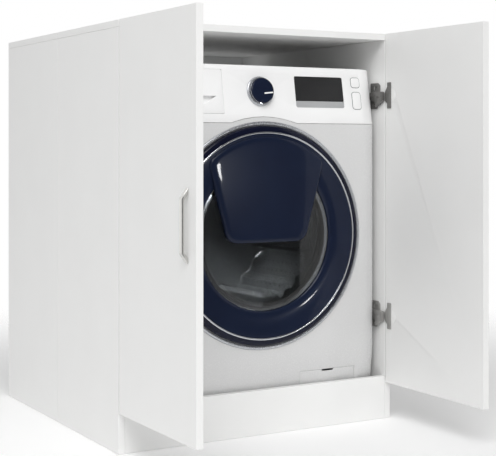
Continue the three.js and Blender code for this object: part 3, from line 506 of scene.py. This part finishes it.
def shapedPlate(name, outline, faceX, side, thicknessMm, bevelMm=0.3):
    # an outline in Y and Z, in metres, laid against faceX and given thickness towards the middle
    bpy.ops.object.select_all(action="DESELECT")
    bpy.ops.mesh.primitive_circle_add(vertices=len(outline), radius=0.01, fill_type="NGON")
    obj = bpy.context.object
    for vertex, (y, z) in zip(obj.data.vertices, outline):
        vertex.co = (faceX, y, z)
    bpy.ops.object.mode_set(mode="EDIT")
    bpy.ops.mesh.select_all(action="SELECT")
    bpy.ops.mesh.extrude_region_move(TRANSFORM_OT_translate={"value": (-side * thicknessMm * mm, 0, 0)})
    bpy.ops.mesh.select_all(action="SELECT")
    bpy.ops.mesh.normals_make_consistent(inside=False)
    bpy.ops.object.mode_set(mode="OBJECT")
    applyBevel(obj, bevelMm, 2)
    obj.name = name
    return obj


def roundedOutline(corners, radiusMm, steps=5):
    # rounds each corner of an outline of (y, z) in metres
    result = []
    count = len(corners)
    for i in range(count):
        corner = Vector(corners[i])
        before = (Vector(corners[i - 1]) - corner).normalized()
        after = (Vector(corners[(i + 1) % count]) - corner).normalized()
        start, end = corner + before * radiusMm * mm, corner + after * radiusMm * mm
        for k in range(steps + 1):
            t = k / steps
            result.append(tuple((1 - t) ** 2 * start + 2 * t * (1 - t) * corner + t ** 2 * end))
    return result


def buildHinge(sideName, side, level, finish):
    # the arm's outlines are (y, z) from the carcass front, the flange's from the open door's edge
    size = {"plateMm": 2.2, "channelMm": 9.0, "bridgeMm": 5.5, "flangeMm": 2.0, "wedgeMm": 2.8,
            "capMm": 0.3, "capRadiusMm": 17.2, "capDepthMm": 10.0}
    stem = f"{sideName}_{level}_hinge"
    armLow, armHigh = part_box(stem + "_arm")
    cupLow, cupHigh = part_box(stem + "_cup")
    z = (armLow.z + armHigh.z) / 2
    faceX = armHigh.x if side > 0 else armLow.x
    doorLow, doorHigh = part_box(sideName + "_door_panel")
    doorFace = doorLow.x if side > 0 else doorHigh.x
    edge = doorHigh.y

    def outlineAt(y, corners, radiusMm):
        return roundedOutline([(y + a * mm, z + b * mm) for a, b in corners], radiusMm)

    plate = shapedPlate(stem + "Plate", outlineAt(0, [
        (47, -31), (47, 31), (17, 31), (9.5, 25), (9.5, -14), (22, -31)], 3.0), faceX, side, size["plateMm"])
    for y, height, width, length in ((33, 15, 4.6, 7), (30, -25, 4.2, 5), (41, 2, 3.6, 0.5), (20, 20,
                                                                                              3.4, 0.5)):
        applyCut(plate, slotCutter(faceX, y * mm, z + height * mm, width, length))
    parts = [plate]

    # folded arm: a channel that narrows from below towards the door, with a raised bridge over the plate
    parts.append(shapedPlate(stem + "Channel", outlineAt(0, [
        (17, -27), (17, 10.5), (-6, 9.5), (-9, 7.5), (-9, -11.5), (-6, -14)], 2.4),
        faceX - side * 2 * mm, side, size["channelMm"], 1.2))
    parts.append(shapedPlate(stem + "Bridge", outlineAt(0, [
        (44, -9), (44, 9), (14, 10), (14, -16)], 2.4), faceX - side * 2 * mm, side, size["bridgeMm"], 1.0))
    for y, height, depth in ((25, 0, 8.1), (38, 0, 8.1), (6, -3, 11.6)):
        parts.append(screwHead(faceX - side * depth * mm, y * mm, z + height * mm, side, 3.0))
    for y, height in ((24, 24), (32, -22)):
        parts.append(screwHead(faceX - side * 2.9 * mm, y * mm, z + height * mm, side, 2.8))
    settle(joinPieces(stem + "Arm", parts), finish, "carcass", [stem + "_arm"])

    # flange: a tall straight plate, with a raised wedge that reaches to the door's edge
    parts = [
        shapedPlate(stem + "Flange", outlineAt(edge, [(-8, -31), (-8, 31), (-22.5, 31), (-22.5, -31)], 2.2),
                    doorFace, side, size["flangeMm"], 0.5),
        shapedPlate(stem + "Wedge", outlineAt(edge, [(-0.4, -12), (-0.4, 8), (-10, 21), (-13, 21), (-13, -20),
                                                     (-10, -20)], 1.6), doorFace, side, size["wedgeMm"], 0.7),
    ]
    for height in (26, -26):
        parts.append(screwHead(doorFace - side * 2.4 * mm, edge - 15.2 * mm, z + height * mm, side, 3.2))
    settle(joinPieces(stem + "Cup", parts), finish, sideName + "_door", [stem + "_cup"])

    # white cap pressed into the bore behind the flange
    bpy.ops.object.select_all(action="DESELECT")
    capX = doorFace + side * (size["capDepthMm"] / 2 - size["capMm"]) * mm
    bpy.ops.mesh.primitive_cylinder_add(vertices=64, radius=size["capRadiusMm"] * mm,
                                        depth=size["capDepthMm"] * mm, rotation=(0, radians(90), 0),
                                        location=(capX, (cupLow.y + cupHigh.y) / 2, z))
    cap = bpy.context.object
    cap.name = stem + "Cap"
    bpy.ops.object.transform_apply(location=True, rotation=True, scale=True)
    applyBevel(cap, 0.25, 3)
    settle(cap, "melamineBoard", sideName + "_door")


for sideName, side in (("left", -1), ("right", 1)):
    # the upper hinges take the plated steel painted darker as shade, the lower ones the plain steel
    for level, finish in (("upper", "shadePaintedPlatedSteel"), ("lower", "platedSteel")):
        buildHinge(sideName, side, level, finish)
print("hinges done")


def buildCasing():
    # finish, bevel in millimetres, bevel segments, and the angle above which an edge is eased
    pieces = {
        "front_panel": ("stoveEnamel", 0.35, 2, 25),
        "filter_flap": ("stoveEnamel", 0.4, 2, 25),
        "control_fascia": ("mouldedAbs", 0.35, 2, 40),
        "detergent_drawer": ("mouldedAbs", 0.2, 2, 40),
        "machine_left_side": ("stoveEnamel", 0.6, 2, 35),
        "machine_right_side": ("stoveEnamel", 0.6, 2, 35),
        "machine_rear_panel": ("galvanisedSheet", 0.4, 2, 35),
        "machine_lid": ("laminate", 4.0, 4, 35),
        "machine_base": ("greyPolypropylene", 1.5, 2, 35),
        "foot_front_left": ("blackRubber", 1.0, 2, 35),
        "foot_front_right": ("blackRubber", 1.0, 2, 35),
        "foot_rear_left": ("blackRubber", 1.0, 2, 35),
        "foot_rear_right": ("blackRubber", 1.0, 2, 35),
    }
    for node, (finish, bevelMm, segments, angle) in pieces.items():
        finishedCopy(node, finish, bevelMm, segments, angle)


def buildControls():
    finishedCopy("display_window", "blackAcrylic", 0.4, 2)
    finishedCopy("display_strip", "anodisedStrip", 0.4, 2)
    finishedCopy("power_button", "mouldedAbs", 0.6, 3)
    finishedCopy("start_button", "mouldedAbs", 0.6, 3)
    # a thin lip round each button, from its left and right edge and its foot and top on the fascia
    lip = {"grow": 1.3, "sink": -0.2, "corner": 7.2, "depth": 0.9, "width": 1.25}
    grow, sink = lip["grow"], lip["sink"]
    for name, x0, x1, z0, z1 in (("powerSeal", 247, 270, 88, 111), ("startSeal", 247, 270, 36, 76)):
        seal = roundedPlate(name, (x0 - grow, sink, z0 - grow), (x1 + grow, sink, z1 + grow),
                            lip["corner"], lip["depth"], lip["width"])
        settle(seal, "greySeal", "carcass", matrix=fasciaMatrix)

    knob = {"x": -5.5, "z": 73.0, "radius": 29.5, "reach": 15.0}
    place = fasciaMatrix @ Matrix.Translation((knob["x"] * mm, 0, knob["z"] * mm))
    r, reach = knob["radius"], knob["reach"]
    turnedPiece("knobSkirt", [(r + 0.6, -0.3), (34.5, -0.3), (34.5, -1.4), (33.9, -3.6), (33.0, -4.2),
                              (33.0, -5.2), (32.2, -6.4), (r + 0.9, -6.9), (r + 0.6, -6.2)],
                "satinChromedAbs", "carcass", ["knob_ring"], 96, place)
    turnedPiece("knobCap", [(r, -1), (r, -reach + 5.5), (r - 0.3, -reach + 2.6), (r - 1.0, -reach + 1.2),
                            (r - 2.0, -reach + 0.4), (r - 3.6, -reach), (r - 10, -reach + 0.25), (6,
                                                                                                  -reach + 0.5),
                            (0, -reach + 0.5)],
                "lacqueredBlueAbs", "program_knob", ["program_knob"], 96, place, closed=False)
    turnedPiece("knobTrim", [(r + 0.35, -reach + 5.6), (r + 0.35, -reach + 3.9), (r - 0.5, -reach + 3.7),
                             (r - 0.5, -reach + 5.6)], "chromedAbs", "program_knob", (), 96, place)
    pointer = roundedPlate("knobPointer", (2, -reach - 0.15, -8.8), (25, -reach - 0.15, -5.6), 1.4, 0.9)
    settle(pointer, "whitePrint", "program_knob", matrix=place @ Matrix.Rotation(radians(-6), 4, "Y"))


buildCasing()
buildControls()
print("casing and controls done")


def buildDoor():
    ring = {"outer": 248.5, "line": 235.0, "hole": 170.0}
    face = doorFaceMm
    turnedPiece("doorSurround", [(249.6, -0.3), (257.9, -0.3), (258, -1.4), (257.2, -2.8), (255.6, -3.8),
                                 (253.6, -4.0), (251, -3.4), (249.7, -2.4)],
                "satinChromedAbs", "carcass", ["door_bezel"], 180, doorPlace)
    turnedPiece("doorRing", [
        (ring["hole"], -1), (ring["outer"], -1), (ring["outer"], face + 6.5), (ring["outer"] - 0.7,
                                                                               face + 4.2),
        (ring["outer"] - 2.4, face + 2.2), (ring["outer"] - 5, face + 1.0), (ring["outer"] - 9, face + 0.35),
        (235.6, face), (235.3, face + 0.5), (230.2, face + 0.5), (229.8, face), (222, face + 0.15),
        (205, face + 0.9), (190, face + 2.2), (180, face + 3.8), (174, face + 5.4), (171, face + 7.0),
        (ring["hole"], face + 8.6),
    ], "lacqueredBlueAbs", "washer_door", ["door_frame"], 180, doorPlace, angle=50)
    rimmed = bpy.data.objects["doorRing"]
    rimmed.data.materials.append(finishes["grooveShadeBlueAbs"])
    # the outer band beyond the trim line takes the painted groove shade
    for polygon in rimmed.data.polygons:
        away = (polygon.center - doorPlace.translation) / mm
        if (away.x ** 2 + away.z ** 2) ** 0.5 > ring["line"]:
            polygon.material_index = 1
    turnedPiece("doorTrimLine", [(231.0, face + 0.3), (234.5, face + 0.3), (234.5, face - 0.4), (234.0,
                                                                                                 face - 0.8),
                                 (232.7, face - 1.0), (231.5, face - 0.8), (231.0, face - 0.4)],
                "chromedAbs", "washer_door", ["door_trim_ring"], 180, doorPlace)


def mouthCutter(y0, y1):
    # a block that cuts the hatch's mouth out of a piece, from y0 to y1 in millimetres
    mouth = {"low": 22, "high": 132, "halfLow": 66, "halfHigh": 92, "corner": 14}
    bpy.ops.object.select_all(action="DESELECT")
    bpy.ops.mesh.primitive_plane_add(size=1)
    obj = bpy.context.object
    corners = [(-mouth["halfLow"], mouth["low"]), (mouth["halfLow"], mouth["low"]),
               (-mouth["halfHigh"], mouth["high"]), (mouth["halfHigh"], mouth["high"])]
    for vertex, (x, z) in zip(obj.data.vertices, corners):
        vertex.co = doorPoint(x * mm, y0 * mm, z * mm)
    bpy.ops.object.mode_set(mode="EDIT")
    bpy.ops.mesh.select_all(action="SELECT")
    bpy.ops.mesh.bevel(offset=mouth["corner"] * mm, segments=6, affect="VERTICES")
    bpy.ops.mesh.extrude_region_move(TRANSFORM_OT_translate={"value": (0, (y1 - y0) * mm, 0)})
    bpy.ops.mesh.select_all(action="SELECT")
    bpy.ops.mesh.normals_make_consistent(inside=False)
    bpy.ops.object.mode_set(mode="OBJECT")
    return obj


def buildWindow():
    cover = turnedPiece("windowCover", [(168.9, -0.6), (168.9, -2.6), (167.5, -3.4), (150, -3.5), (0, -3.5)],
                        "tintedAcrylic", "washer_door", ["door_window_cover"], 144, doorPlace, closed=False)
    applyCut(cover, mouthCutter(-30, 30))
    bpy.ops.object.shade_smooth_by_angle(angle=radians(35))
    bowl = turnedPiece("glassBowl", [
        (168.8, 0.9), (168.8, 6.6), (166, 8.6), (163.6, 14), (158.5, 40), (152, 70), (142, 86), (124, 100),
        (96, 108.5), (60, 112), (0, 112.2), (0, 107.2), (60, 107), (94, 103.6), (120, 95.6), (137, 83),
        (147, 67), (153, 40), (158, 12), (160.5, 0.9),
    ], "pressedGlass", "washer_door", ["door_glass_bowl"], 144, doorPlace)
    applyCut(bowl, mouthCutter(45, 140))
    bpy.ops.object.shade_smooth_by_angle(angle=radians(35))
    turnedPiece("bowlClampRing", [(160.3, 0.2), (168.9, 0.2), (168.9, -0.35), (164, -0.45), (160.3, -0.35)],
                "chromedAbs", "washer_door", (), 144, doorPlace)


def shieldOutline(shrinkMm):
    # the hatch's edge in (x, z) from the door's middle, drawn in by shrinkMm all round
    size = {"low": -15.0, "halfLow": 106.0, "radius": 224.0, "spread": 42.1, "corner": 34.0,
            "shoulder": 9.0, "drop": 4.0}
    cornerSteps, sideSteps, topSteps = 12, 12, 36
    low, halfLow = size["low"] + shrinkMm, size["halfLow"] - shrinkMm
    radius, corner = size["radius"] - shrinkMm, size["corner"]
    spread = radians(size["spread"]) - shrinkMm / size["radius"]
    points = []
    for i in range(cornerSteps + 1):
        t = i / cornerSteps
        points.append((halfLow - corner + (2 * t - t * t) * corner + 3 * t * t, low + t * t * corner))
    startX, startZ = points[-1]
    endX, endZ = radius * sin(spread), radius * cos(spread)
    for i in range(1, sideSteps):
        points.append((startX + (endX - startX) * i / sideSteps, startZ + (endZ - startZ) * i / sideSteps))
    easing = size["shoulder"] / size["radius"]
    for i in range(topSteps + 1):
        angle = spread * (1 - i / (topSteps / 2))
        fade = max(0.0, abs(angle) - spread + easing) / easing
        eased = radius - size["drop"] * fade * fade
        points.append((eased * sin(angle), eased * cos(angle)))
    for x, z in reversed(points[1:cornerSteps + sideSteps]):
        points.append((-x, z))
    return points


def buildHatch():
    # the pillowed shield: its outline drawn in by steps, each nearer the front, over a deep side wall
    steps = [(0.0, 7.6), (0.0, -0.7), (0.4, -1.9), (1.4, -3.0), (3.2, -3.9), (6.0, -4.5), (9.5, -4.82),
             (13.0, -4.9), (24.0, -4.9), (40.0, -4.9)]
    face = doorFaceMm
    outline = shieldOutline(0)
    bpy.ops.object.select_all(action="DESELECT")
    bpy.ops.mesh.primitive_circle_add(vertices=len(outline), radius=0.05, rotation=(radians(90), 0, 0))
    obj = bpy.context.object
    obj.name = "hatchShield"
    bpy.ops.object.transform_apply(location=True, rotation=True, scale=True)
    for vertex, (x, z) in zip(obj.data.vertices, outline):
        vertex.co = (x * mm, (face + steps[0][1]) * mm, z * mm)
    bpy.ops.object.mode_set(mode="EDIT")
    bpy.ops.mesh.select_all(action="SELECT")
    bpy.ops.mesh.edge_face_add()
    bpy.ops.object.mode_set(mode="OBJECT")
    for shrink, rise in steps[1:]:
        bpy.ops.object.mode_set(mode="EDIT")
        bpy.ops.mesh.extrude_region_move(TRANSFORM_OT_translate={"value": (0, 0, 0)})
        bpy.ops.object.mode_set(mode="OBJECT")
        moved = [v for v in obj.data.vertices if v.select]
        for vertex, (x, z) in zip(moved, shieldOutline(shrink)):
            vertex.co = (x * mm, (face + rise) * mm, z * mm)
    bpy.ops.object.mode_set(mode="EDIT")
    bpy.ops.mesh.select_all(action="SELECT")
    bpy.ops.mesh.normals_make_consistent(inside=False)
    bpy.ops.object.mode_set(mode="OBJECT")
    settle(obj, "lacqueredBlueAbs", "add_in_hatch", ["add_in_hatch"], 60, doorPlace)


buildDoor()
buildWindow()
buildHatch()
print("loading door done")


def buildLifter(index, turn, frontMm, backMm):
    # one of the three polished ridges inside the drum
    outline = [(-29, 235), (-27.5, 228), (-11, 184.6), (-8, 182.6),
               (8, 182.6), (11, 184.6), (27.5, 228), (29, 235)]
    bpy.ops.object.select_all(action="DESELECT")
    bpy.ops.mesh.primitive_circle_add(vertices=len(outline), radius=0.05, fill_type="NGON")
    obj = bpy.context.object
    obj.name = f"lifterCap{index}"
    for vertex, (x, z) in zip(obj.data.vertices, outline):
        vertex.co = (x * mm, frontMm * mm, z * mm)
    bpy.ops.object.mode_set(mode="EDIT")
    bpy.ops.mesh.select_all(action="SELECT")
    bpy.ops.mesh.extrude_region_move(TRANSFORM_OT_translate={"value": (0, (backMm - frontMm) * mm, 0)})
    bpy.ops.mesh.select_all(action="SELECT")
    bpy.ops.mesh.normals_make_consistent(inside=False)
    bpy.ops.object.mode_set(mode="OBJECT")
    applyBevel(obj, 2.5, 3, 20)
    settle(obj, "sheenPaintedStainless", "drum", matrix=doorPlace @ Matrix.Rotation(radians(turn), 4, "Y"))


def buildInside():
    turnedPiece("doorGasketRing", [
        (198, 0.5), (198, 3.5), (196, 5.5), (191, 8), (190.2, 14), (190.2, 26), (192, 31), (199, 35),
        (205, 39), (206, 44), (206, 52), (204, 57), (198, 60), (192, 62.5), (191.5, 71.8), (187, 71.8),
        (187, 60), (190, 57.4), (197, 54.5), (201, 51.5), (201, 44.5), (198, 41.5), (190, 38), (185.5, 33),
        (185, 26), (185, 12), (184, 6.5), (181.5, 4), (181, 1.6), (182.5, 0.5),
    ], "mouldedRubber", "carcass", ["door_gasket"], 144, doorPlace, angle=50)
    low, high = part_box("drum")
    start, end = (low.y - door["front"]) / mm, (high.y - door["front"]) / mm
    turnedPiece("drumShell", [
        (182.2, start + 0.2), (226, start + 0.2), (233, start + 2.6), (236.4, start + 6), (237.8, start + 11),
        (237.8, end - 13), (234, end - 5), (226, end - 0.4), (0, end - 0.4), (0, end - 2.4), (52, end - 2.4),
        (60, end - 7), (112, end - 7), (122, end - 2.4), (190, end - 2.4), (224, end - 3.4), (231, end - 6.5),
        (235.8, end - 14), (235.8, start + 12), (234.4, start + 7.5), (231.5, start + 4.6), (225,
                                                                                             start + 2.2),
        (182.2, start + 2.2)], "piercedStainless", "drum", ["drum"], 144, doorPlace, angle=40)
    for index, turn in enumerate((30, 150, 270)):
        buildLifter(index, turn, start + 23, end - 30)
    for node, finish in (("tub_front_half", "greyPolypropylene"), ("tub_rear_half", "greyPolypropylene"),
                         ("drum_shaft", "castAluminium"), ("drum_pulley", "castAluminium"),
                         ("motor", "castAluminium"), ("motor_pulley", "springSteel"),
                         ("drive_belt", "blackRubber"), ("tub_damper_left", "greyPolypropylene"),
                         ("tub_damper_right", "greyPolypropylene"), ("tub_spring_left", "springSteel"),
                         ("tub_spring_right", "springSteel")):
        finishedCopy(node, finish, 0, 1, 30)
    finishedCopy("counterweight", "castConcrete", 2.0, 2)


def buildRear():
    # what shows on the machine's back: a pulley cover, four transit caps and two water inlets
    low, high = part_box("machine_rear_panel")
    x, back = (low.x + high.x) / 2, high.y
    place = Matrix.Translation((x, back, door["z"])) @ Matrix.Rotation(pi, 4, "Z")
    turnedPiece("pulleyCover", [(176, -0.2), (176, -2.0), (172, -4.4), (165, -5.4), (120, -5.6), (112, -7.4),
                                (60, -7.8), (0, -7.8)], "galvanisedSheet", "carcass", (), 96, place,
                                closed=False)
    for index, (dx, dz) in enumerate(((-190, 190), (190, 190), (-190, -230), (190, -230))):
        cap = place @ Matrix.Translation((dx * mm, 0, dz * mm))
        turnedPiece(f"transitCap{index}", [(17, -0.2), (17, -2.4), (15.4, -4.2), (9, -4.8), (0, -4.8)],
                    "greyPolypropylene", "carcass", (), 40, cap, closed=False)
    for index, dx in enumerate((-255, -205)):
        inlet = place @ Matrix.Translation((dx * mm, 0, 330 * mm))
        turnedPiece(f"waterInlet{index}", [(9, -0.2), (18, -0.2), (18, -3), (13.2, -4), (13.2, -8),
                                           (12.2, -8.6),
                                           (13.2, -9.4), (13.2, -13), (12.2, -13.8), (13.2, -14.6),
                                           (13.2, -19),
                                           (12, -20), (9, -20)],
                    "greyPolypropylene", "carcass", (), 40, inlet)


buildInside()
buildRear()
print("inside and back done")
